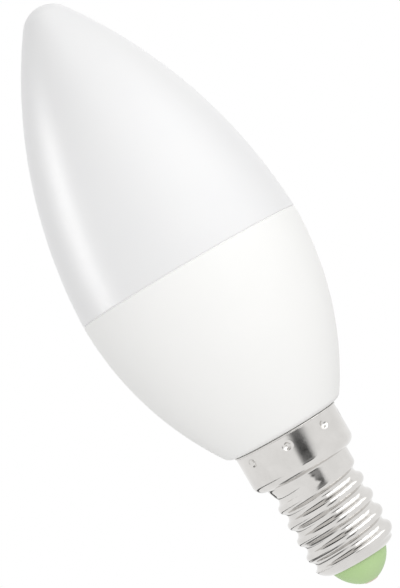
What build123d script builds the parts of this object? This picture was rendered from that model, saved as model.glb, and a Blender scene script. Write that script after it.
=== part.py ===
from build123d import *
from math import acos, asin, atan2, ceil, cos, degrees, dist, radians, sin, tan
import os

# A candle lamp that stands cap down in its own frame. Its axis is Z, the
# crown of the centre contact lies at the origin and the flame points up.

# Lengths along the axis
cap_length = 26.4  # centre contact to the rim of the screw cap
collar_height = 6.75  # rim of the cap to the shoulder over its thread
insulator_drop = 3.8  # rolled-in end of the cap to the crown of the contact
housing_length = 28.6  # rim of the cap to the seam below the diffuser
diffuser_height = 45.8  # seam to the tip of the flame

# Diffuser and housing
body_diameter = 37.0
flank_radius = 81.0
nose_radius = 4.6
diffuser_wall = 1.5
seam_chamfer = 0.15
rim_wall = 0.7  # wall of the housing beside the diffuser's tongue
tongue_height = 2.0
tongue_clearance = 0.05
foot_diameter = 19.3
foot_edge_radius = 1.7
neck_length = 5.0
neck_chamfer = 0.4

# Screw cap, drawn and rolled from sheet
sheet_thickness = 0.3
collar_diameter = 17.2
collar_corner_radius = 1.5
bead_height = 0.35
bead_proud = 0.15
thread_major_diameter = 13.9
thread_minor_diameter = 12.3
thread_pitch = 2.822
thread_flank_angle = 42.0
thread_start_drop = 2.25  # shoulder to the last full turn of the groove
thread_start_angle = 180.0  # polar angle of that point on the groove
thread_fade_turn = 160.0  # turn past that point to the end of the groove
end_radius = 2.6
end_turn = 81.0
cap_clearance = 0.05

# Dimples staked through the collar into the neck of the housing
stake_count = 8
stake_diameter = 1.3
stake_depth = 0.4
stake_half_angle = 40.0
stake_drop = 1.8  # rim of the cap to the middle of the dimples
stake_start_angle = -95.4  # polar angle of one dimple

# Insulator and centre contact
insulator_height = 8.0  # crown of the contact to the top of the plug
insulator_side_radius = 6.1
insulator_face_diameter = 2.8
contact_proud = 0.2
contact_head_diameter = 2.4
contact_head_thickness = 0.7
contact_head_chamfer = 0.2
contact_shank_diameter = 1.3
contact_shank_length = 8.5
contact_point = 0.4
contact_clearance = 0.05
wire_funnel = 1.6

# Heights of the faces where the pieces meet
rim_z = cap_length
shoulder_z = rim_z - collar_height
lip_z = insulator_drop
seam_z = rim_z + housing_length
tip_z = seam_z + diffuser_height
stake_z = rim_z - stake_drop
thread_start_z = shoulder_z - thread_start_drop

# Radii and slopes that follow from the sizes above
body_radius = body_diameter / 2
foot_radius = foot_diameter / 2
collar_radius = collar_diameter / 2
collar_bore_radius = collar_radius - sheet_thickness
crest_radius = thread_major_diameter / 2
root_radius = thread_minor_diameter / 2
bore_radius = root_radius - sheet_thickness
stake_slope = tan(radians(stake_half_angle))

upright = (Align.CENTER, Align.CENTER, Align.MIN)

# The cap's end rolls in on an arc about this centre
end_centre = (crest_radius - end_radius, lip_z + end_radius * sin(radians(end_turn)))
inner_end_radius = end_radius - sheet_thickness
lip_radius = end_centre[0] + inner_end_radius * cos(radians(end_turn))

# The flank and the nose of the flame are two arcs that touch. The centre of
# the flank is one flank radius from the seam and from the far side of the nose.
nose_centre = (0, tip_z - nose_radius)
seam_to_nose = dist((body_radius, seam_z), nose_centre)
nose_reach = flank_radius - nose_radius
seam_turn = acos((flank_radius**2 + seam_to_nose**2 - nose_reach**2) / (2 * flank_radius * seam_to_nose))
flank_direction = atan2(nose_centre[1] - seam_z, nose_centre[0] - body_radius) + seam_turn
flank_centre = (
    body_radius + flank_radius * cos(flank_direction),
    seam_z + flank_radius * sin(flank_direction),
)
touch_angle = degrees(atan2(nose_centre[1] - flank_centre[1], nose_centre[0] - flank_centre[0]))


def draw_flame(inset):
    """Draws the flame from the seam to the axis, moved in by the inset, and gives its seam radius."""
    flank = flank_radius - inset
    seam_angle = degrees(asin((seam_z - flank_centre[1]) / flank))
    CenterArc(flank_centre, flank, seam_angle, touch_angle - seam_angle)
    CenterArc(nose_centre, nose_radius - inset, touch_angle, 90 - touch_angle)
    return flank_centre[0] + flank * cos(radians(seam_angle))


def nearest_corner(sketch, point):
    """Picks the corner of a section that lies at the point."""
    return sketch.vertices().sort_by_distance(point)[0]


def stake_tip(growth):
    """Gives how far off the axis a stake's blunt tip lies, and its radius, both for a grown stake."""
    tip_growth = growth * tan(radians(45 - stake_half_angle / 2))
    return collar_radius - stake_depth - growth, stake_diameter / 2 - stake_depth * stake_slope + tip_growth


def stake_cones(growth, outer_radius):
    """Makes the ring of blunt cones that press the dimples."""
    inner_radius, tip_radius = stake_tip(growth)
    length = outer_radius - inner_radius
    with BuildPart() as cones:
        with Locations((0, 0, stake_z)):
            with PolarLocations(inner_radius, stake_count, start_angle=stake_start_angle):
                Cone(
                    tip_radius,
                    tip_radius + length * stake_slope,
                    length,
                    rotation=(0, 90, 0),
                    align=upright,
                )
    return cones.part


def thread_groove():
    """Makes the helical groove of the right-hand thread, whose end fades on a wall that is off the axis."""
    depth = crest_radius - root_radius
    slope = tan(radians(thread_flank_angle))
    root_width = thread_pitch / 2 - depth * slope
    mouth_radius = crest_radius + sheet_thickness / 2
    mouth_width = root_width + 2 * (mouth_radius - root_radius) * slope
    turns_down = ceil((thread_start_z - lip_z) / thread_pitch)
    path_z = thread_start_z - (turns_down + thread_start_angle / 360) * thread_pitch
    path_length = thread_start_z + thread_pitch * thread_fade_turn / 360 - path_z
    fade_radius = (bore_radius + crest_radius + sheet_thickness) / 2
    fade_offset = fade_radius - bore_radius
    fade_tilt = degrees(atan2(thread_pitch / 4, crest_radius))
    with BuildPart() as groove:
        with BuildLine():
            Helix(thread_pitch, path_length, root_radius, center=(0, 0, path_z))
        with BuildSketch(Plane.XZ):
            with BuildLine():
                Polyline(
                    (mouth_radius, path_z - mouth_width / 2),
                    (root_radius, path_z - root_width / 2),
                    (root_radius, path_z + root_width / 2),
                    (mouth_radius, path_z + mouth_width / 2),
                    close=True,
                )
            make_face()
        sweep(is_frenet=True)
        with Locations(Location((0, 0, thread_start_z), (0, 0, thread_start_angle))):
            with Locations(Location((-fade_offset, 0, 0), (-fade_tilt, 0, 0))):
                Cylinder(fade_radius, collar_height, align=upright, mode=Mode.SUBTRACT)
    return groove.part


# Diffuser: a moulded flame with a tongue that drops inside the housing's rim
tongue_radius = body_radius - rim_wall - tongue_clearance
with BuildPart() as diffuser:
    with BuildSketch(Plane.XZ) as diffuser_section:
        with BuildLine():
            draw_flame(0)
            flame_bore_radius = draw_flame(diffuser_wall)
            Polyline(
                (body_radius, seam_z),
                (tongue_radius, seam_z),
                (tongue_radius, seam_z - tongue_height),
                (flame_bore_radius, seam_z - tongue_height),
                (flame_bore_radius, seam_z),
            )
            Line((0, tip_z - diffuser_wall), (0, tip_z))
        make_face()
        chamfer(nearest_corner(diffuser_section, (body_radius, seam_z)), seam_chamfer)
    revolve(axis=Axis.Z)

# Housing: a base that narrows from the seam to a neck inside the cap. The
# stakes hold it by a groove round the neck.
flank_drop = body_radius - foot_radius
housing_flank = (housing_length**2 + flank_drop**2) / (2 * flank_drop)
floor_z = seam_z - tongue_height - tongue_clearance
neck_radius = collar_bore_radius - cap_clearance
neck_z = rim_z - neck_length
groove_radius, groove_half_width = stake_tip(sheet_thickness + cap_clearance)
groove_half_mouth = groove_half_width + (neck_radius - groove_radius) * stake_slope
with BuildPart() as housing:
    with BuildSketch(Plane.XZ) as housing_section:
        with BuildLine():
            CenterArc(
                (body_radius - housing_flank, seam_z),
                housing_flank,
                0,
                -degrees(asin(housing_length / housing_flank)),
            )
            Polyline(
                (foot_radius, rim_z),
                (neck_radius, rim_z),
                (neck_radius, stake_z + groove_half_mouth),
                (groove_radius, stake_z + groove_half_width),
                (groove_radius, stake_z - groove_half_width),
                (neck_radius, stake_z - groove_half_mouth),
                (neck_radius, neck_z),
                (0, neck_z),
                (0, floor_z),
                (body_radius - rim_wall, floor_z),
                (body_radius - rim_wall, seam_z),
                (body_radius, seam_z),
            )
        make_face()
        chamfer(nearest_corner(housing_section, (body_radius, seam_z)), seam_chamfer)
        fillet(nearest_corner(housing_section, (foot_radius, rim_z)), foot_edge_radius)
        chamfer(nearest_corner(housing_section, (neck_radius, neck_z)), neck_chamfer)
    revolve(axis=Axis.Z)

# Screw cap: a drawn shell with a rim bead, a staked collar and a rolled thread.
# Its section is drawn on the side away from the start of the groove.
bore_turn = degrees(acos((bore_radius - end_centre[0]) / inner_end_radius))
corner_centre = (collar_radius - collar_corner_radius, shoulder_z + collar_corner_radius)
groove = thread_groove()
stake_backs = stake_cones(sheet_thickness, collar_radius - sheet_thickness / 2)
stake_pits = stake_cones(0, collar_radius + sheet_thickness)
with BuildPart() as screw_cap:
    with BuildSketch(Plane(origin=(0, 0, 0), x_dir=(-1, 0, 0), z_dir=(0, 1, 0))):
        with BuildLine():
            corner = CenterArc(corner_centre, collar_corner_radius, 0, -90)
            end = CenterArc(end_centre, end_radius, 0, -end_turn)
            inner_end = CenterArc(end_centre, inner_end_radius, -end_turn, end_turn - bore_turn)
            Polyline(corner @ 1, (crest_radius, shoulder_z), end @ 0)
            Line(end @ 1, inner_end @ 0)
            Polyline(
                inner_end @ 1,
                (bore_radius, shoulder_z + sheet_thickness),
                (corner_centre[0], shoulder_z + sheet_thickness),
                (collar_bore_radius, corner_centre[1]),
                (collar_bore_radius, rim_z),
                (collar_radius + bead_proud, rim_z),
                (collar_radius + bead_proud, rim_z - bead_height),
                (collar_radius, rim_z - bead_height),
                corner @ 0,
            )
        make_face()
    revolve(axis=Axis.Z)
    add(groove, mode=Mode.SUBTRACT)
    add(stake_backs)
    add(stake_pits, mode=Mode.SUBTRACT)

# Insulator: a moulded plug that seats on the rolled-in end of the cap
plug_radius = bore_radius - cap_clearance
throat_radius = lip_radius - cap_clearance
seat_radius = inner_end_radius - cap_clearance
plug_turn = degrees(acos((plug_radius - end_centre[0]) / seat_radius))
throat_turn = degrees(acos((throat_radius - end_centre[0]) / seat_radius))
face_radius = insulator_face_diameter / 2
with BuildPart() as insulator:
    with BuildSketch(Plane.XZ):
        with BuildLine():
            seat = CenterArc(end_centre, seat_radius, -plug_turn, plug_turn - throat_turn)
            side = RadiusArc((throat_radius, lip_z), (face_radius, contact_proud), insulator_side_radius)
            Line(seat @ 1, side @ 0)
            Polyline(
                side @ 1,
                (0, contact_proud),
                (0, insulator_height),
                (plug_radius, insulator_height),
                seat @ 0,
            )
        make_face()
    revolve(axis=Axis.Z)
    with Locations(Plane((0, 0, contact_proud), z_dir=(0, 0, -1))):
        CounterBoreHole(
            contact_shank_diameter / 2 + contact_clearance,
            contact_head_diameter / 2 + contact_clearance,
            contact_head_thickness - contact_proud,
        )
    chamfer(insulator.faces().sort_by(Axis.Z)[-1].inner_wires()[0].edges(), wire_funnel)

# Centre contact: a rivet whose crown is the lowest point of the lamp
with BuildPart() as centre_contact:
    Cylinder(contact_head_diameter / 2, contact_head_thickness, align=upright)
    chamfer(centre_contact.edges().sort_by(Axis.Z)[0], contact_head_chamfer)
    with Locations((0, 0, contact_head_thickness)):
        Cylinder(contact_shank_diameter / 2, contact_shank_length, align=upright)
    chamfer(centre_contact.edges().sort_by(Axis.Z)[-1], contact_point)

os.makedirs("parts", exist_ok=True)
pieces = {
    "diffuser": diffuser,
    "housing": housing,
    "screw_cap": screw_cap,
    "insulator": insulator,
    "centre_contact": centre_contact,
}
for name, piece in pieces.items():
    piece.part.label = name
    export_step(piece.part, f"parts/{name}.step")
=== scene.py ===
import math

import bpy
from mathutils import Matrix, Vector


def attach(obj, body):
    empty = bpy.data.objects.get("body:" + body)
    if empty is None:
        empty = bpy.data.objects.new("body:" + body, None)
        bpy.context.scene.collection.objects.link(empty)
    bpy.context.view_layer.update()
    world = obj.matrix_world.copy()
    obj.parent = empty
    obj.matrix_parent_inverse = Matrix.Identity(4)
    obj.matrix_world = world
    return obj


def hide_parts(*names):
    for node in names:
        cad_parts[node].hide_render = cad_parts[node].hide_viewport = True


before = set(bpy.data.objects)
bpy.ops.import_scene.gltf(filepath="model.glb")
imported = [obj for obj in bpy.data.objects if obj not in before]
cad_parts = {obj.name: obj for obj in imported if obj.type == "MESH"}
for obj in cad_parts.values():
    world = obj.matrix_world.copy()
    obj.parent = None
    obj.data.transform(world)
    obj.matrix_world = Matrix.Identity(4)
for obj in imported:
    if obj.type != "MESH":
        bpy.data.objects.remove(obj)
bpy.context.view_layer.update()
scene = bpy.context.scene

# Sizes of the lamp in millimetres. The crown of the centre contact lies at
# height 0 and the flame points up. The main sizes are those of the CAD; the
# small roundings, the gap over the bead, the stakes' soft mouths and the way
# the thread runs out belong to this model alone.
MM = 0.001

RIM_Z = 26.4
SHOULDER_Z = 19.65
LIP_Z = 3.8
SEAM_Z = 55.0
TIP_Z = 100.8

BODY_RADIUS = 18.5
FLANK_RADIUS = 81.0
NOSE_RADIUS = 4.6
DIFFUSER_WALL = 1.5
SEAM_CHAMFER = 0.15
RIM_WALL = 0.7
TONGUE_HEIGHT = 2.0
TONGUE_CLEARANCE = 0.05
FOOT_RADIUS = 9.65
FOOT_EDGE_RADIUS = 1.7
NECK_RADIUS = 8.25
NECK_Z = RIM_Z - 5.0
NECK_CHAMFER = 0.4

SHEET = 0.3
COLLAR_RADIUS = 8.6
COLLAR_CORNER_RADIUS = 1.5
BEAD_HEIGHT = 0.35
BEAD_PROUD = 0.15
BEAD_GAP = 0.1
BEAD_ROOT_RADIUS = 0.06
BEAD_LOWER_RADIUS = 0.07
BEAD_UPPER_RADIUS = 0.13
SHOULDER_ROOT_RADIUS = 0.14
SHOULDER_ROOT_RUN = 0.3
CREST_RADIUS = 6.95
THREAD_DEPTH = 0.8
THREAD_PITCH = 2.822
THREAD_START_Z = 17.4
THREAD_START_ANGLE = math.pi
THREAD_FADE_Z = 17.5
THREAD_RUNOUT_Z = 18.25
THREAD_TAPER_Z = 16.7
NECK_TOP_Z = 19.45
THREAD_BLEND = 0.12
END_RADIUS = 2.6
END_TURN = 81.0

STAKE_COUNT = 8
STAKE_Z = 24.6
STAKE_ANGLE = math.radians(-95.4)
STAKE_MOUTH = 0.78
STAKE_FLOOR = 0.2
STAKE_DEPTH = 0.4
STAKE_BAND = 0.9
CRIMP_RADIUS = 7.85
CRIMP_HALF_WIDTH = 0.48
CRIMP_HALF_MOUTH = 0.81

INSULATOR_Z = 8.0
PLUG_RADIUS = 5.8
PLUG_CHAMFER = 0.2
PLUG_CLEARANCE = 0.05
THROAT_RADIUS = 4.66
INSULATOR_SIDE_RADIUS = 6.1
INSULATOR_FACE_RADIUS = 1.4
CONTACT_PROUD = 0.2
CONTACT_HEAD_RADIUS = 1.2
CONTACT_HEAD_HEIGHT = 0.7
CONTACT_HEAD_EDGE_RADIUS = 0.18
CONTACT_FLAT_RADIUS = 0.9
CONTACT_POINT = 0.4
CONTACT_SHANK_RADIUS = 0.65
CONTACT_TOP_Z = 9.2
CONTACT_CLEARANCE = 0.05
CONTACT_MOUTH_CHAMFER = 0.05
WIRE_FUNNEL = 1.6


# Profiles: lists of radius and height that climb the outer wall of a piece

def arc(centre, radius, start, turn, steps):
    """Points on an arc from the start angle through the turn, in degrees."""
    points = []
    for i in range(steps + 1):
        angle = math.radians(start + turn * i / steps)
        points.append((centre[0] + radius * math.cos(angle), centre[1] + radius * math.sin(angle)))
    return points


def straight(a, b, steps):
    """Evenly spaced points from a to b."""
    across, rise = b[0] - a[0], b[1] - a[1]
    return [(a[0] + across * i / steps, a[1] + rise * i / steps) for i in range(steps + 1)]


def rounded(before, corner, after, radius, steps):
    """An arc of the radius that rounds the corner between two straight runs."""
    a = (Vector(before) - Vector(corner)).normalized()
    b = (Vector(after) - Vector(corner)).normalized()
    half = a.angle(b) / 2
    start = Vector(corner) + a * (radius / math.tan(half))
    end = Vector(corner) + b * (radius / math.tan(half))
    centre = Vector(corner) + (a + b).normalized() * (radius / math.sin(half))
    from_angle = math.degrees(math.atan2(*reversed(start - centre)))
    turn = math.degrees(math.atan2(*reversed(end - centre))) - from_angle
    turn = (turn + 180.0) % 360.0 - 180.0
    return arc(centre, radius, from_angle, turn, steps)


def bowed(a, b, radius, steps):
    """An arc of the radius from a up to b that bows away from the axis."""
    along = Vector(b) - Vector(a)
    aside = Vector((-along.y, along.x)).normalized()
    depth = math.sqrt(radius**2 - along.length_squared / 4)
    centre = (Vector(a) + Vector(b)) / 2 + aside * depth
    start = math.degrees(math.atan2(a[1] - centre.y, a[0] - centre.x))
    turn = 2 * math.degrees(math.asin(along.length / 2 / radius))
    return arc(centre, radius, start, turn, steps)


def joined(*runs):
    """One profile of several runs, without the points that two runs share."""
    points = []
    for run in runs:
        for point in run:
            if not points or math.dist(point, points[-1]) > 1e-4:
                points.append(tuple(point))
    return points


def flame_centres():
    """Centre of the flank's arc, and the angle at which it touches the nose."""
    nose = (0.0, TIP_Z - NOSE_RADIUS)
    across = math.dist((BODY_RADIUS, SEAM_Z), nose)
    reach = FLANK_RADIUS - NOSE_RADIUS
    turn = math.acos((FLANK_RADIUS**2 + across**2 - reach**2) / (2 * FLANK_RADIUS * across))
    direction = math.atan2(nose[1] - SEAM_Z, nose[0] - BODY_RADIUS) + turn
    centre = (
        BODY_RADIUS + FLANK_RADIUS * math.cos(direction),
        SEAM_Z + FLANK_RADIUS * math.sin(direction),
    )
    touch = math.degrees(math.atan2(nose[1] - centre[1], nose[0] - centre[0]))
    return centre, nose, touch


def flame_profile(inset, low_z, flank_steps, nose_steps):
    """The flame from a height up to its tip, moved in by the inset."""
    centre, nose, touch = flame_centres()
    flank = FLANK_RADIUS - inset
    low = math.degrees(math.asin((low_z - centre[1]) / flank))
    return joined(
        arc(centre, flank, low, touch - low, flank_steps),
        arc(nose, NOSE_RADIUS - inset, touch, 90.0 - touch, nose_steps),
    )


def diffuser_profile():
    """The hollow flame, from the inside of its tip round its foot to the outside."""
    inner = flame_profile(DIFFUSER_WALL, SEAM_Z, 32, 12)
    bore = inner[0][0]
    tongue = BODY_RADIUS - RIM_WALL - TONGUE_CLEARANCE
    tongue_z = SEAM_Z - TONGUE_HEIGHT
    outer = flame_profile(0.0, SEAM_Z + SEAM_CHAMFER, 120, 36)
    foot = (BODY_RADIUS - SEAM_CHAMFER, SEAM_Z)
    return joined(
        reversed(inner),
        [(bore, tongue_z), (tongue, tongue_z), (tongue, SEAM_Z), foot],
        straight(foot, outer[0], 2),
        outer,
    )


def housing_profile():
    """The housing, from the foot of its neck up to the recess for the diffuser."""
    drop = BODY_RADIUS - FOOT_RADIUS
    length = SEAM_Z - RIM_Z
    flank = (length**2 + drop**2) / (2 * drop)
    centre = (BODY_RADIUS - flank, SEAM_Z)
    low = -math.degrees(math.asin(length / flank))
    top = -math.degrees(math.asin(SEAM_CHAMFER / flank))
    wall = arc(centre, flank, low, top - low, 120)
    corner = (FOOT_RADIUS, RIM_Z)
    foot = rounded((NECK_RADIUS, RIM_Z), corner, wall[4], FOOT_EDGE_RADIUS, 16)
    wall = [p for p in wall if p[1] > foot[-1][1] + 0.05]
    rim = (BODY_RADIUS - SEAM_CHAMFER, SEAM_Z)
    recess = BODY_RADIUS - RIM_WALL
    floor_z = SEAM_Z - TONGUE_HEIGHT - TONGUE_CLEARANCE
    return joined(
        [(0.0, NECK_Z), (NECK_RADIUS - NECK_CHAMFER, NECK_Z)],
        [(NECK_RADIUS, NECK_Z + NECK_CHAMFER)],
        [(NECK_RADIUS, STAKE_Z - CRIMP_HALF_MOUTH), (CRIMP_RADIUS, STAKE_Z - CRIMP_HALF_WIDTH)],
        [(CRIMP_RADIUS, STAKE_Z + CRIMP_HALF_WIDTH), (NECK_RADIUS, STAKE_Z + CRIMP_HALF_MOUTH)],
        [(NECK_RADIUS, RIM_Z)],
        foot,
        wall,
        straight(wall[-1], rim, 2),
        [(recess, SEAM_Z), (recess, floor_z), (0.0, floor_z)],
    )


def rolled_end_centre():
    """Centre of the arc by which the cap's end is rolled in."""
    return CREST_RADIUS - END_RADIUS, LIP_Z + END_RADIUS * math.sin(math.radians(END_TURN))


def cap_profile():
    """The cap's sheet as a closed loop, with the inset of each point from the outer wall."""
    centre = rolled_end_centre()
    corner = (COLLAR_RADIUS - COLLAR_CORNER_RADIUS, SHOULDER_Z + COLLAR_CORNER_RADIUS)
    bead = COLLAR_RADIUS + BEAD_PROUD
    bead_z = RIM_Z - BEAD_HEIGHT
    top_z = RIM_Z - BEAD_GAP
    bore = COLLAR_RADIUS - SHEET
    throat = CREST_RADIUS - SHEET
    low_z = STAKE_Z - STAKE_BAND
    high_z = STAKE_Z + STAKE_BAND
    below = (CREST_RADIUS, SHOULDER_Z - SHOULDER_ROOT_RUN)
    root = (CREST_RADIUS, SHOULDER_Z)
    ledge = (corner[0], SHOULDER_Z)
    collar_top = (COLLAR_RADIUS, bead_z - BEAD_ROOT_RADIUS)
    bead_root = (COLLAR_RADIUS, bead_z)
    bead_low = (bead, bead_z)
    bead_high = (bead, top_z)
    lip = arc(centre, END_RADIUS - SHEET / 2, -END_TURN, 0.0, 1)[0]
    outer = joined(
        arc(lip, SHEET / 2, 180.0 - END_TURN, 180.0, 6),
        arc(centre, END_RADIUS, -END_TURN, END_TURN, 22),
        straight((CREST_RADIUS, centre[1]), below, 112),
        rounded(below, root, ledge, SHOULDER_ROOT_RADIUS, 5),
        arc(corner, COLLAR_CORNER_RADIUS, -90.0, 90.0, 14),
        straight((COLLAR_RADIUS, corner[1]), (COLLAR_RADIUS, low_z), 14),
        straight((COLLAR_RADIUS, low_z), (COLLAR_RADIUS, high_z), 18),
        straight((COLLAR_RADIUS, high_z), collar_top, 5),
        rounded(collar_top, bead_root, bead_low, BEAD_ROOT_RADIUS, 4),
        rounded(bead_root, bead_low, bead_high, BEAD_LOWER_RADIUS, 5),
        rounded(bead_low, bead_high, (bore, top_z), BEAD_UPPER_RADIUS, 6),
    )
    inner = joined(
        [(bore, top_z)],
        straight((bore, high_z), (bore, low_z), 12),
        arc(corner, COLLAR_CORNER_RADIUS - SHEET, 0.0, -90.0, 6),
        straight((throat, SHOULDER_Z + SHEET), (throat, centre[1]), 44),
        arc(centre, END_RADIUS - SHEET, 0.0, -END_TURN, 8),
    )
    insets = [0.0] * len(outer) + [SHEET] * len(inner) + [0.0]
    return outer + inner + [outer[0]], insets


def insulator_profile():
    """The insulator as a closed loop, with the hole for the contact."""
    centre = rolled_end_centre()
    seat = END_RADIUS - SHEET - PLUG_CLEARANCE
    plug_turn = math.degrees(math.acos((PLUG_RADIUS - centre[0]) / seat))
    throat_turn = math.degrees(math.acos((THROAT_RADIUS - centre[0]) / seat))
    head = CONTACT_HEAD_RADIUS + CONTACT_CLEARANCE
    hole = CONTACT_SHANK_RADIUS + CONTACT_CLEARANCE
    face = (INSULATOR_FACE_RADIUS, CONTACT_PROUD)
    mouth = (head + CONTACT_MOUTH_CHAMFER, CONTACT_PROUD)
    return joined(
        [mouth],
        bowed(face, (THROAT_RADIUS, LIP_Z), INSULATOR_SIDE_RADIUS, 24),
        arc(centre, seat, -throat_turn, throat_turn - plug_turn, 8),
        [(PLUG_RADIUS, INSULATOR_Z - PLUG_CHAMFER), (PLUG_RADIUS - PLUG_CHAMFER, INSULATOR_Z)],
        [(hole + WIRE_FUNNEL, INSULATOR_Z), (hole, INSULATOR_Z - WIRE_FUNNEL)],
        [(hole, CONTACT_HEAD_HEIGHT), (head, CONTACT_HEAD_HEIGHT)],
        [(head, CONTACT_PROUD + CONTACT_MOUTH_CHAMFER), mouth],
    )


def contact_profile():
    """The contact, from the middle of its crown up to the point of its shank."""
    head = CONTACT_HEAD_RADIUS
    shank = CONTACT_SHANK_RADIUS
    shoulder = (head, CONTACT_HEAD_HEIGHT)
    return joined(
        straight((0.0, 0.0), (CONTACT_FLAT_RADIUS, 0.0), 3),
        rounded((0.0, 0.0), (head, 0.0), shoulder, CONTACT_HEAD_EDGE_RADIUS, 6),
        [shoulder, (shank, CONTACT_HEAD_HEIGHT), (shank, CONTACT_TOP_Z - CONTACT_POINT)],
        [(shank - CONTACT_POINT, CONTACT_TOP_Z), (0.0, CONTACT_TOP_Z)],
    )


# Geometry node trees

MERGE_DISTANCE = 2e-6


def plug(tree, socket, value):
    """Links an output to a socket, or sets the socket to a plain value."""
    if isinstance(value, bpy.types.NodeSocket):
        tree.links.new(value, socket)
    elif value is not None:
        socket.default_value = value


def add_node(tree, kind, inputs=None, **settings):
    """A node of the kind with its settings made and its inputs plugged."""
    node = tree.nodes.new(kind)
    for name, value in settings.items():
        setattr(node, name, value)
    for key, value in (inputs or {}).items():
        plug(tree, node.inputs[key], value)
    return node


def sums(tree, operation, a, b=None, c=None):
    """The result of one step of arithmetic."""
    node = add_node(tree, "ShaderNodeMath", operation=operation)
    for socket, value in zip(node.inputs, (a, b, c)):
        plug(tree, socket, value)
    return node.outputs[0]


def squares(tree, a, b):
    """The square of a and the square of b together."""
    return sums(tree, "ADD", sums(tree, "MULTIPLY", a, a), sums(tree, "MULTIPLY", b, b))


def eased(tree, value, first, last, start, end):
    """A value that goes smoothly from start to end as another goes from first to last."""
    sockets = {"Value": value, "From Min": first, "From Max": last, "To Min": start, "To Max": end}
    return add_node(tree, "ShaderNodeMapRange", sockets, interpolation_type="SMOOTHSTEP").outputs[0]


def new_tree(name, sizes):
    """An empty geometry tree with an input for each size, its input node and its output node."""
    tree = bpy.data.node_groups.new(name, "GeometryNodeTree")
    tree.interface.new_socket("Geometry", in_out="INPUT", socket_type="NodeSocketGeometry")
    for label, kind in sizes.items():
        tree.interface.new_socket(label, in_out="INPUT", socket_type=f"NodeSocket{kind}")
    tree.interface.new_socket("Geometry", in_out="OUTPUT", socket_type="NodeSocketGeometry")
    return tree, tree.nodes.new("NodeGroupInput").outputs, tree.nodes.new("NodeGroupOutput").inputs


def end_tree(tree, shape, finish, result):
    """Makes the shape real, gives it its finish and sends it out of the tree."""
    shape = add_node(tree, "GeometryNodeRealizeInstances", {"Geometry": shape}).outputs[0]
    sockets = {"Geometry": shape, "Material": finish}
    shape = add_node(tree, "GeometryNodeSetMaterial", sockets).outputs[0]
    plug(tree, result["Geometry"], shape)


def round_axis(tree):
    """Radius, polar angle and height of each point, and its direction out from the axis."""
    spot = add_node(tree, "GeometryNodeInputPosition").outputs[0]
    x, y, z = add_node(tree, "ShaderNodeSeparateXYZ", {0: spot}).outputs
    radius = sums(tree, "SQRT", squares(tree, x, y))
    angle = sums(tree, "ARCTAN2", y, x)
    flat = add_node(tree, "ShaderNodeCombineXYZ", {"X": x, "Y": y}).outputs[0]
    outward = add_node(tree, "ShaderNodeVectorMath", {0: flat}, operation="NORMALIZE").outputs[0]
    return radius, angle, z, outward


def stored_inset(tree):
    """Depth of each point below the outer wall, as the profile gives it."""
    sockets = {"Name": "inset"}
    return add_node(tree, "GeometryNodeInputNamedAttribute", sockets, data_type="FLOAT").outputs[0]


def moved_out(tree, shape, outward, distance):
    """The shape with each point moved out from the axis by a distance."""
    sockets = {0: outward, "Scale": distance}
    shift = add_node(tree, "ShaderNodeVectorMath", sockets, operation="SCALE").outputs[0]
    return add_node(tree, "GeometryNodeSetPosition", {"Geometry": shape, "Offset": shift}).outputs[0]


def turned_form_tree():
    """Turns a profile round the Z axis and keeps its sharp corners sharp."""
    tree, given, result = new_tree(
        "Turned form",
        {"Segments": "Int", "Crease Angle": "Float", "Finish": "Material"},
    )
    profile = given["Geometry"]
    segments = given["Segments"]
    counts = add_node(tree, "GeometryNodeAttributeDomainSize", {0: profile}, component="MESH").outputs
    rows = counts["Point Count"]
    columns = sums(tree, "ADD", segments, 1.0)
    sockets = {"Vertices X": columns, "Vertices Y": rows}
    grid = add_node(tree, "GeometryNodeMeshGrid", sockets).outputs["Mesh"]
    index = add_node(tree, "GeometryNodeInputIndex").outputs[0]
    row = sums(tree, "MODULO", index, rows)
    column = sums(tree, "FLOOR", sums(tree, "DIVIDE", index, rows))

    def of_profile(value, kind):
        sockets = {"Geometry": profile, "Value": value, "Index": row}
        node = add_node(tree, "GeometryNodeSampleIndex", sockets, data_type=kind, domain="POINT")
        return node.outputs[0]

    place = of_profile(add_node(tree, "GeometryNodeInputPosition").outputs[0], "FLOAT_VECTOR")
    radius, _, height = add_node(tree, "ShaderNodeSeparateXYZ", {0: place}).outputs
    angle = sums(tree, "DIVIDE", sums(tree, "MULTIPLY", column, math.tau), segments)
    sockets = {
        "X": sums(tree, "MULTIPLY", radius, sums(tree, "COSINE", angle)),
        "Y": sums(tree, "MULTIPLY", radius, sums(tree, "SINE", angle)),
        "Z": height,
    }
    turned = add_node(tree, "ShaderNodeCombineXYZ", sockets).outputs[0]
    inset = of_profile(stored_inset(tree), "FLOAT")
    shape = add_node(tree, "GeometryNodeSetPosition", {"Geometry": grid, "Position": turned}).outputs[0]
    shape = add_node(
        tree,
        "GeometryNodeStoreNamedAttribute",
        {"Geometry": shape, "Name": "inset", "Value": inset},
        data_type="FLOAT",
        domain="POINT",
    ).outputs[0]
    sockets = {"Geometry": shape, "Distance": MERGE_DISTANCE}
    shape = add_node(tree, "GeometryNodeMergeByDistance", sockets).outputs[0]
    sockets = {"Geometry": shape, "Shade Smooth": True}
    shape = add_node(tree, "GeometryNodeSetShadeSmooth", sockets).outputs[0]
    fold = add_node(tree, "GeometryNodeInputMeshEdgeAngle").outputs["Unsigned Angle"]
    creased = sums(tree, "GREATER_THAN", fold, given["Crease Angle"])
    shape = add_node(
        tree,
        "GeometryNodeSetShadeSmooth",
        {"Geometry": shape, "Selection": creased, "Shade Smooth": False},
        domain="EDGE",
    ).outputs[0]
    end_tree(tree, shape, given["Finish"], result)
    return tree


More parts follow.
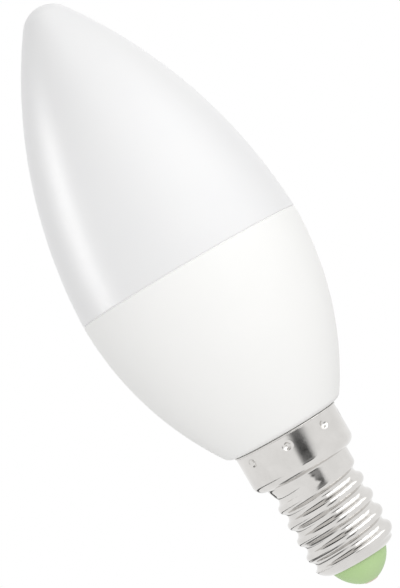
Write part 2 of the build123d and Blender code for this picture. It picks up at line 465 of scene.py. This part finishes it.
def rolled_thread_tree():
    """Rolls a round right-hand thread into both walls of a turned sheet, fading below the shoulder."""
    tree, given, result = new_tree(
        "Rolled thread",
        {
            "Pitch": "Float",
            "Depth": "Float",
            "Crest Radius": "Float",
            "Start Height": "Float",
            "Start Angle": "Float",
            "Fade Height": "Float",
            "Runout Height": "Float",
            "Taper Height": "Float",
            "Neck Height": "Float",
            "Blend": "Float",
            "Finish": "Material",
        },
    )
    radius, angle, height, outward = round_axis(tree)
    pitch = given["Pitch"]
    depth = given["Depth"]
    start_z = given["Start Height"]
    fade_z = given["Fade Height"]
    runout_z = given["Runout Height"]
    neck_z = given["Neck Height"]
    # Distance along the axis from the middle of the nearest groove
    climb = sums(tree, "DIVIDE", sums(tree, "SUBTRACT", height, start_z), pitch)
    turn = sums(tree, "DIVIDE", sums(tree, "SUBTRACT", angle, given["Start Angle"]), math.tau)
    phase = sums(tree, "FRACT", sums(tree, "ADD", sums(tree, "SUBTRACT", climb, turn), 0.5))
    above = sums(tree, "MULTIPLY", sums(tree, "SUBTRACT", phase, 0.5), pitch)
    from_groove = sums(tree, "ABSOLUTE", above)
    from_crest = sums(tree, "SUBTRACT", sums(tree, "MULTIPLY", pitch, 0.5), from_groove)
    # Two equal arcs that touch half way down the flank make the wave
    quarter = sums(tree, "MULTIPLY", pitch, 0.25)
    half_depth = sums(tree, "MULTIPLY", depth, 0.5)
    arc_radius = sums(tree, "DIVIDE", squares(tree, quarter, half_depth), depth)
    near = sums(tree, "MINIMUM", from_groove, from_crest)
    whole = sums(tree, "MULTIPLY", arc_radius, arc_radius)
    inside = sums(tree, "SUBTRACT", whole, sums(tree, "MULTIPLY", near, near))
    fall = sums(tree, "SUBTRACT", arc_radius, sums(tree, "SQRT", inside))
    in_groove = sums(tree, "LESS_THAN", from_groove, from_crest)
    groove_fall = sums(tree, "SUBTRACT", depth, fall)
    drop = sums(
        tree,
        "ADD",
        sums(tree, "MULTIPLY", in_groove, groove_fall),
        sums(tree, "MULTIPLY", sums(tree, "SUBTRACT", 1.0, in_groove), fall),
    )
    fade = eased(tree, sums(tree, "SUBTRACT", height, above), fade_z, runout_z, 1.0, 0.0)
    fall = sums(tree, "MULTIPLY", drop, fade)
    # Above the last groove the wall slopes gently out to the neck
    span = sums(tree, "DIVIDE", sums(tree, "SUBTRACT", runout_z, start_z), pitch)
    below = sums(tree, "MULTIPLY", sums(tree, "FRACT", sums(tree, "SUBTRACT", span, turn)), pitch)
    last = sums(tree, "SUBTRACT", runout_z, below)
    kept = sums(tree, "MULTIPLY", depth, eased(tree, last, fade_z, runout_z, 1.0, 0.0))
    kept = sums(tree, "MULTIPLY", kept, eased(tree, last, given["Taper Height"], start_z, 0.0, 1.0))
    to_neck = sums(tree, "SUBTRACT", neck_z, last)
    left = sums(tree, "DIVIDE", sums(tree, "SUBTRACT", neck_z, height), to_neck)
    over = sums(tree, "GREATER_THAN", height, last)
    slope = sums(tree, "MULTIPLY", sums(tree, "MULTIPLY", kept, sums(tree, "MAXIMUM", left, 0.0)), over)
    fall = sums(tree, "MAXIMUM", fall, slope)
    wall = sums(tree, "SUBTRACT", given["Crest Radius"], stored_inset(tree))
    rolled = sums(tree, "SMOOTH_MIN", radius, sums(tree, "SUBTRACT", wall, fall), given["Blend"])
    on_thread = sums(tree, "LESS_THAN", height, neck_z)
    shift = sums(tree, "MULTIPLY", sums(tree, "SUBTRACT", rolled, radius), on_thread)
    shape = moved_out(tree, given["Geometry"], outward, shift)
    end_tree(tree, shape, given["Finish"], result)
    return tree


def staked_ring_tree():
    """Presses a ring of round dimples into a turned collar."""
    tree, given, result = new_tree(
        "Staked ring",
        {
            "Count": "Int",
            "Height": "Float",
            "Start Angle": "Float",
            "Collar Radius": "Float",
            "Mouth Radius": "Float",
            "Floor Radius": "Float",
            "Depth": "Float",
            "Finish": "Material",
        },
    )
    radius, angle, height, outward = round_axis(tree)
    share = sums(tree, "DIVIDE", math.tau, given["Count"])
    step = sums(tree, "DIVIDE", sums(tree, "SUBTRACT", angle, given["Start Angle"]), share)
    offset = sums(tree, "SUBTRACT", sums(tree, "FRACT", sums(tree, "ADD", step, 0.5)), 0.5)
    aside = sums(tree, "MULTIPLY", sums(tree, "MULTIPLY", offset, share), given["Collar Radius"])
    above = sums(tree, "SUBTRACT", height, given["Height"])
    away = sums(tree, "SQRT", squares(tree, aside, above))
    deepest = sums(tree, "MULTIPLY", given["Depth"], -1.0)
    pressed = eased(tree, away, given["Floor Radius"], given["Mouth Radius"], deepest, 0.0)
    shape = moved_out(tree, given["Geometry"], outward, pressed)
    end_tree(tree, shape, given["Finish"], result)
    return tree


def apply_tree(piece, tree, values):
    """Adds the tree to the piece with a value for each named input."""
    modifier = piece.modifiers.new(tree.name, "NODES")
    modifier.node_group = tree
    for item in tree.interface.items_tree:
        if item.item_type == "SOCKET" and item.in_out == "INPUT" and item.name in values:
            modifier[item.identifier] = values[item.name]


def made_plain(name, profile, insets, steps):
    """A plain mesh object, made from the profile by the trees in steps, each with its values."""
    outline = bpy.data.meshes.new(f"{name}_profile")
    points = [(r * MM, 0.0, z * MM) for r, z in profile]
    outline.from_pydata(points, [(i, i + 1) for i in range(len(points) - 1)], [])
    if insets:
        layer = outline.attributes.new("inset", "FLOAT", "POINT")
        layer.data.foreach_set("value", [inset * MM for inset in insets])
    piece = bpy.data.objects.new(name, outline)
    scene.collection.objects.link(piece)
    for tree, values in steps:
        apply_tree(piece, tree, values)
    graph = bpy.context.evaluated_depsgraph_get()
    mesh = bpy.data.meshes.new_from_object(piece.evaluated_get(graph))
    mesh.name = name
    piece.modifiers.clear()
    piece.data = mesh
    bpy.data.meshes.remove(outline)
    if "inset" in mesh.attributes:
        mesh.attributes.remove(mesh.attributes["inset"])
    return piece


# Shader groups and finishes

def new_group(name, inputs, outputs):
    """An empty shader group with named sockets, its input node and its output node."""
    group = bpy.data.node_groups.new(name, "ShaderNodeTree")
    for label, (kind, value) in inputs.items():
        socket = group.interface.new_socket(label, in_out="INPUT", socket_type=f"NodeSocket{kind}")
        socket.default_value = value
    for label, kind in outputs.items():
        group.interface.new_socket(label, in_out="OUTPUT", socket_type=f"NodeSocket{kind}")
    return group, group.nodes.new("NodeGroupInput").outputs, group.nodes.new("NodeGroupOutput").inputs


def ranged(tree, value, low, high):
    """A value from 0 to 1 brought between low and high."""
    sockets = {"Value": value, "To Min": low, "To Max": high}
    return add_node(tree, "ShaderNodeMapRange", sockets).outputs[0]


def cloudy_mask(tree, place, scale, detail, roughness, low, high):
    """Soft patches from 0 to 1, sharper the further low and high lie apart."""
    sockets = {"Vector": place, "Scale": scale, "Detail": detail, "Roughness": roughness}
    cloud = add_node(tree, "ShaderNodeTexNoise", sockets).outputs["Fac"]
    return add_node(tree, "ShaderNodeClamp", {0: ranged(tree, cloud, low, high)}).outputs[0]


def mixed_colour(tree, mask, colour, other):
    """The colour where the mask is 0 and the other where it is 1."""
    sockets = {"Factor": mask, 6: colour, 7: other}
    return add_node(tree, "ShaderNodeMix", sockets, data_type="RGBA").outputs[2]


def moulded_skin_group():
    """Faint mottling and fine grain of a moulded plastic."""
    group, given, result = new_group(
        "Moulded skin",
        {
            "Colour": ("Color", (0.8, 0.8, 0.8, 1.0)),
            "Shade": ("Color", (0.75, 0.75, 0.75, 1.0)),
            "Roughness": ("Float", 0.4),
            "Roughness Spread": ("Float", 0.05),
            "Grain Scale": ("Float", 3000.0),
        },
        {"Colour": "Color", "Roughness": "Float", "Height": "Float"},
    )
    place = add_node(group, "ShaderNodeTexCoord").outputs["Object"]
    mask = cloudy_mask(group, place, 90.0, 3.0, 0.55, -0.6, 1.6)
    sockets = {"Vector": place, "Scale": given["Grain Scale"], "Detail": 2.0}
    grain = add_node(group, "ShaderNodeTexNoise", sockets).outputs["Fac"]
    spread = sums(group, "MULTIPLY", sums(group, "SUBTRACT", grain, 0.5), given["Roughness Spread"])
    plug(group, result["Colour"], mixed_colour(group, mask, given["Colour"], given["Shade"]))
    plug(group, result["Roughness"], sums(group, "ADD", given["Roughness"], spread))
    plug(group, result["Height"], grain)
    return group


def drawn_metal_group():
    """Fine lines round the axis and dull patches of a drawn and plated sheet."""
    group, given, result = new_group(
        "Drawn metal",
        {
            "Colour": ("Color", (0.7, 0.7, 0.7, 1.0)),
            "Dull Colour": ("Color", (0.6, 0.6, 0.6, 1.0)),
            "Roughness": ("Float", 0.2),
            "Roughness Spread": ("Float", 0.1),
            "Line Scale": ("Float", 5000.0),
        },
        {"Colour": "Color", "Roughness": "Float", "Height": "Float"},
    )
    place = add_node(group, "ShaderNodeTexCoord").outputs["Object"]
    x, y, z = add_node(group, "ShaderNodeSeparateXYZ", {0: place}).outputs
    sockets = {
        "X": sums(group, "MULTIPLY", x, 120.0),
        "Y": sums(group, "MULTIPLY", y, 120.0),
        "Z": sums(group, "MULTIPLY", z, given["Line Scale"]),
    }
    stretched = add_node(group, "ShaderNodeCombineXYZ", sockets).outputs[0]
    sockets = {"Vector": stretched, "Scale": 1.0, "Detail": 3.0}
    lines = add_node(group, "ShaderNodeTexNoise", sockets).outputs["Fac"]
    mask = cloudy_mask(group, place, 260.0, 4.0, 0.6, -1.0, 2.0)
    rough = sums(group, "MULTIPLY", mask, given["Roughness Spread"])
    plug(group, result["Colour"], mixed_colour(group, mask, given["Colour"], given["Dull Colour"]))
    plug(group, result["Roughness"], sums(group, "ADD", given["Roughness"], rough))
    plug(group, result["Height"], lines)
    return group


def new_finish(name, group, values, bump_strength, bump_depth, **constants):
    """A material with colour, roughness and relief from a group, and constants on its shader."""
    material = bpy.data.materials.new(name)
    material.use_nodes = True
    tree = material.node_tree
    shader = tree.nodes["Principled BSDF"]
    skin = add_node(tree, "ShaderNodeGroup", node_tree=group)
    for label, value in values.items():
        skin.inputs[label].default_value = value
    plug(tree, shader.inputs["Base Color"], skin.outputs["Colour"])
    plug(tree, shader.inputs["Roughness"], skin.outputs["Roughness"])
    bump = add_node(
        tree,
        "ShaderNodeBump",
        {"Strength": bump_strength, "Distance": bump_depth, "Height": skin.outputs["Height"]},
    )
    plug(tree, shader.inputs["Normal"], bump.outputs[0])
    for label, value in constants.items():
        shader.inputs[label.replace("_", " ")].default_value = value
    return material


moulded_skin = moulded_skin_group()
drawn_metal = drawn_metal_group()

frosted_white = new_finish(
    "frosted_white",
    moulded_skin,
    {
        "Colour": (0.82, 0.82, 0.82, 1.0),
        "Shade": (0.805, 0.805, 0.81, 1.0),
        "Roughness": 0.36,
        "Roughness Spread": 0.06,
        "Grain Scale": 4200.0,
    },
    bump_strength=0.12,
    bump_depth=4e-5,
)
housing_white = new_finish(
    "housing_white",
    moulded_skin,
    {
        "Colour": (0.91, 0.907, 0.894, 1.0),
        "Shade": (0.897, 0.894, 0.88, 1.0),
        "Roughness": 0.52,
        "Roughness Spread": 0.08,
        "Grain Scale": 3000.0,
    },
    bump_strength=0.15,
    bump_depth=4e-5,
)
nickel_plate = new_finish(
    "nickel_plate",
    drawn_metal,
    {
        "Colour": (0.72, 0.705, 0.685, 1.0),
        "Dull Colour": (0.66, 0.645, 0.625, 1.0),
        "Roughness": 0.08,
        "Roughness Spread": 0.05,
        "Line Scale": 5200.0,
    },
    bump_strength=0.03,
    bump_depth=1.5e-5,
    Metallic=1.0,
)
green_plastic = new_finish(
    "green_plastic",
    moulded_skin,
    {
        "Colour": (0.415, 0.625, 0.255, 1.0),
        "Shade": (0.495, 0.665, 0.34, 1.0),
        "Roughness": 0.42,
        "Roughness Spread": 0.08,
        "Grain Scale": 2600.0,
    },
    bump_strength=0.15,
    bump_depth=4e-5,
)
contact_plate = new_finish(
    "contact_plate",
    drawn_metal,
    {
        "Colour": (0.76, 0.66, 0.58, 1.0),
        "Dull Colour": (0.68, 0.58, 0.5, 1.0),
        "Roughness": 0.28,
        "Roughness Spread": 0.12,
        "Line Scale": 4000.0,
    },
    bump_strength=0.1,
    bump_depth=1.5e-5,
    Metallic=1.0,
)


# Pieces of the lamp

CREASE_ANGLE = math.radians(32.0)

turned_form = turned_form_tree()
rolled_thread = rolled_thread_tree()
staked_ring = staked_ring_tree()


def turned(segments, finish):
    """The turned form, with the values for one piece."""
    return turned_form, {"Segments": segments, "Crease Angle": CREASE_ANGLE, "Finish": finish}


thread_sizes = {
    "Pitch": THREAD_PITCH * MM,
    "Depth": THREAD_DEPTH * MM,
    "Crest Radius": CREST_RADIUS * MM,
    "Start Height": THREAD_START_Z * MM,
    "Start Angle": THREAD_START_ANGLE,
    "Fade Height": THREAD_FADE_Z * MM,
    "Runout Height": THREAD_RUNOUT_Z * MM,
    "Taper Height": THREAD_TAPER_Z * MM,
    "Neck Height": NECK_TOP_Z * MM,
    "Blend": THREAD_BLEND * MM,
    "Finish": nickel_plate,
}
stake_sizes = {
    "Count": STAKE_COUNT,
    "Height": STAKE_Z * MM,
    "Start Angle": STAKE_ANGLE,
    "Collar Radius": COLLAR_RADIUS * MM,
    "Mouth Radius": STAKE_MOUTH * MM,
    "Floor Radius": STAKE_FLOOR * MM,
    "Depth": STAKE_DEPTH * MM,
    "Finish": nickel_plate,
}

cap_outline, cap_insets = cap_profile()
cap_steps = [turned(340, nickel_plate), (rolled_thread, thread_sizes), (staked_ring, stake_sizes)]
diffuser = made_plain("frosted_diffuser", diffuser_profile(), None, [turned(288, frosted_white)])
housing = made_plain("white_housing", housing_profile(), None, [turned(288, housing_white)])
screw_cap = made_plain("nickel_cap", cap_outline, cap_insets, cap_steps)
insulator = made_plain("green_insulator", insulator_profile(), None, [turned(160, green_plastic)])
contact = made_plain("end_contact_rivet", contact_profile(), None, [turned(96, contact_plate)])

# Each piece with the CAD node in whose place it stands and the slot of its material
pieces = (
    (diffuser, "diffuser", "frosted_diffuser"),
    (housing, "housing", "white_housing"),
    (screw_cap, "screw_cap", "nickel_cap"),
    (insulator, "insulator", "green_insulator"),
    (contact, "centre_contact", "contact_metal"),
)
for piece, node, slot in pieces:
    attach(piece, "root")
    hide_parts(node)


# Camera: near the level of the lamp's middle and rolled, so that the flame points up and left

VIEW_DISTANCE = 0.29
VIEW_ROLL = math.radians(30.246)
VIEW_RISE = math.radians(1.2)
VIEW_TARGET = Vector((-0.00064, 0.0, 0.0506))
PIXELS_PER_MM = 6.573
IMAGE_HEIGHT = 588

camera_data = bpy.data.cameras.new("view")
camera_data.sensor_fit = "VERTICAL"
camera_data.angle = 2 * math.atan(IMAGE_HEIGHT / 2 / PIXELS_PER_MM * MM / VIEW_DISTANCE)
camera_data.clip_start = 0.01
camera = bpy.data.objects.new("view", camera_data)
rise = Matrix.Rotation(VIEW_RISE, 3, "X")
right = rise @ Vector((math.cos(VIEW_ROLL), 0.0, -math.sin(VIEW_ROLL)))
up = rise @ Vector((math.sin(VIEW_ROLL), 0.0, math.cos(VIEW_ROLL)))
back = right.cross(up)
facing = Matrix((right, up, back)).transposed().to_4x4()
camera.matrix_world = Matrix.Translation(VIEW_TARGET + back * VIEW_DISTANCE) @ facing
scene.collection.objects.link(camera)
scene.camera = camera


# Stage and light, in metres and watts. Angles are counted from the camera's side towards the right.

WHITE = (1.0, 1.0, 1.0, 1.0)
LAMP_AIM = Vector((0.0, 0.0, 0.05))
LAMP_LENGTH = 0.5
PANEL_WIDTH = 0.25
PANEL_DISTANCE = 0.6
PANEL_HEIGHT = 0.31
PANELS = ((20.0, 0.32), (45.0, 0.57), (70.0, 0.7), (95.0, 0.26))
FILLS = ((155.0, 1.3), (205.0, 1.3))
STRIP_WIDTH = 0.08
STRIP_DISTANCE = 0.5
STRIP_HEIGHT = 0.28
STRIPS = ((-87.0, 0.99), (-98.0, 0.72))
CARD_STEPS = 16
CARD_SOFT_STEPS = 3
FLOOR_HALF_WIDTH = 0.6
FLOOR_Z = -0.15
FLOOR_GREY = 0.9
FLOOR_GLOW = 0.7
SKY_LEVEL = 0.64
SKY_SIDE = (-0.13, -0.39, -0.14)


def from_camera(degrees_right, distance, height):
    """A place round the lamp."""
    a = math.radians(degrees_right)
    return (distance * math.sin(a), -distance * math.cos(a), height)


def stage_sheet(name, points, faces):
    """A sheet of the stage, with the tree and the shader of its plain matte material."""
    mesh = bpy.data.meshes.new(name)
    mesh.from_pydata(points, [], faces)
    material = bpy.data.materials.new(name)
    material.use_nodes = True
    mesh.materials.append(material)
    sheet = bpy.data.objects.new(name, mesh)
    scene.collection.objects.link(sheet)
    return sheet, material.node_tree, material.node_tree.nodes["Principled BSDF"]


def dark_card(name, edges, grey):
    """A dark card with soft ends that only reflections see.

    Each of its two edges has a first and a last angle, a distance and a height.
    """
    points = []
    for first, last, distance, height in edges:
        step = (last - first) / CARD_STEPS
        points += [from_camera(first + step * i, distance, height) for i in range(CARD_STEPS + 1)]
    row = CARD_STEPS + 1
    faces = [(i, i + 1, i + row + 1, i + row) for i in range(CARD_STEPS)]
    card, paint, matte = stage_sheet(name, points, faces)
    dark = card.data.attributes.new("dark", "FLOAT", "POINT")
    for i, spot in enumerate(dark.data):
        along = i % row
        spot.value = min(along, CARD_STEPS - along, CARD_SOFT_STEPS) / CARD_SOFT_STEPS
    deep = add_node(paint, "ShaderNodeAttribute", attribute_name="dark").outputs["Fac"]
    level = sums(paint, "ADD", sums(paint, "MULTIPLY", deep, grey - 1.0), 1.0)
    glow = add_node(paint, "ShaderNodeEmission", {"Color": WHITE, "Strength": level})
    paint.nodes.remove(matte)
    plug(paint, paint.nodes["Material Output"].inputs["Surface"], glow.outputs[0])
    card.visible_camera = False
    card.visible_diffuse = False
    card.visible_shadow = False


def area_light(name, place, width, power):
    """A long soft lamp at a place that faces the bulb, with its length along the bulb."""
    data = bpy.data.lights.new(name, "AREA")
    data.shape = "RECTANGLE"
    data.size = width
    data.size_y = LAMP_LENGTH
    data.energy = power
    lamp = bpy.data.objects.new(name, data)
    turned_to_bulb = (Vector(place) - LAMP_AIM).to_track_quat("Z", "Y")
    lamp.matrix_world = Matrix.Translation(place) @ turned_to_bulb.to_matrix().to_4x4()
    lamp.visible_camera = False
    scene.collection.objects.link(lamp)
    return lamp


# A bank of soft panels on the right
for turn, power in PANELS:
    area_light("panel", from_camera(turn, PANEL_DISTANCE, PANEL_HEIGHT), PANEL_WIDTH, power)

# Narrow strips on the left that only show as a sheen on the diffuser
sheen = bpy.data.collections.new("sheen")
sheen.objects.link(diffuser)
for turn, power in STRIPS:
    strip = area_light("strip", from_camera(turn, STRIP_DISTANCE, STRIP_HEIGHT), STRIP_WIDTH, power)
    strip.visible_diffuse = False
    strip.light_linking.receiver_collection = sheen

# Fill light behind the bulb
for turn, power in FILLS:
    fill = area_light("fill", from_camera(turn, PANEL_DISTANCE, PANEL_HEIGHT), PANEL_WIDTH, power)
    fill.visible_glossy = False

# Dark things that the plated cap mirrors, each with its two edges and its level of light
dark_card("lens", ((-8.0, 27.0, 0.5, -0.0203), (5.0, 47.0, 0.5, 0.004)), 0.0)
dark_card("plate", ((-5.0, 29.0, 0.5, -0.032), (-7.0, 25.0, 0.5, -0.0203)), 0.25)
dark_card("knob", ((-5.0, 30.0, 0.5, -0.075), (-3.0, 34.0, 0.5, -0.032)), 0.35)
dark_card("tripod", ((-7.0, 24.0, 0.5, -0.14), (-5.0, 30.0, 0.5, -0.075)), 0.03)
dark_card("ceiling", ((-130.0, 10.0, 0.36, 0.37), (-130.0, 10.0, 0.02, 0.5)), 0.06)
dark_card("ledge", ((-110.0, -3.0, 0.0125, 0.0055), (-110.0, -3.0, 0.008, 0.0055)), 0.2)
dark_card("table_edge", ((-178.0, -50.0, 0.45, -0.125), (-178.0, -50.0, 0.45, -0.085)), 0.05)

# A pale floor that mirrors as white, keeps the shadow of the bulb and is clear from below
corners = ((-1, -1), (1, -1), (1, 1), (-1, 1))
floor_points = [(x * FLOOR_HALF_WIDTH, y * FLOOR_HALF_WIDTH, FLOOR_Z) for x, y in corners]
floor, paint, matte = stage_sheet("floor", floor_points, [(0, 1, 2, 3)])
matte.inputs["Base Color"].default_value = (FLOOR_GREY, FLOOR_GREY, FLOOR_GREY, 1.0)
matte.inputs["Roughness"].default_value = 0.9
path = add_node(paint, "ShaderNodeLightPath").outputs
mirrored = sums(paint, "MAXIMUM", path["Is Glossy Ray"], path["Is Transmission Ray"])
bright = sums(paint, "MAXIMUM", mirrored, sums(paint, "MULTIPLY", path["Is Camera Ray"], FLOOR_GLOW))
glow = add_node(paint, "ShaderNodeEmission", {"Color": WHITE, "Strength": 1.0})
mixed = add_node(paint, "ShaderNodeMixShader", {0: bright, 1: matte.outputs[0], 2: glow.outputs[0]})
clear = add_node(paint, "ShaderNodeBsdfTransparent")
under = add_node(paint, "ShaderNodeNewGeometry").outputs["Backfacing"]
sides = add_node(paint, "ShaderNodeMixShader", {0: under, 1: mixed.outputs[0], 2: clear.outputs[0]})
plug(paint, paint.nodes["Material Output"].inputs["Surface"], sides.outputs[0])
floor.visible_diffuse = False

# White surroundings, with softer and sided light on matte surfaces
world = bpy.data.worlds.new("studio")
world.use_nodes = True
scene.world = world
sky = world.node_tree
for node in list(sky.nodes):
    sky.nodes.remove(node)
path = add_node(sky, "ShaderNodeLightPath").outputs
seen = sums(sky, "MAXIMUM", path["Is Camera Ray"], path["Is Glossy Ray"])
seen = sums(sky, "MAXIMUM", seen, path["Is Transmission Ray"])
where = add_node(sky, "ShaderNodeTexCoord").outputs["Generated"]
side = add_node(sky, "ShaderNodeVectorMath", {0: where, 1: SKY_SIDE}, operation="DOT_PRODUCT")
level = sums(sky, "ADD", side.outputs["Value"], SKY_LEVEL)
soft = add_node(sky, "ShaderNodeBackground", {"Color": WHITE, "Strength": level})
white = add_node(sky, "ShaderNodeBackground", {"Color": WHITE, "Strength": 1.0})
mixed = add_node(sky, "ShaderNodeMixShader", {0: seen, 1: soft.outputs[0], 2: white.outputs[0]})
add_node(sky, "ShaderNodeOutputWorld", {"Surface": mixed.outputs[0]})

scene.view_settings.view_transform = "Standard"
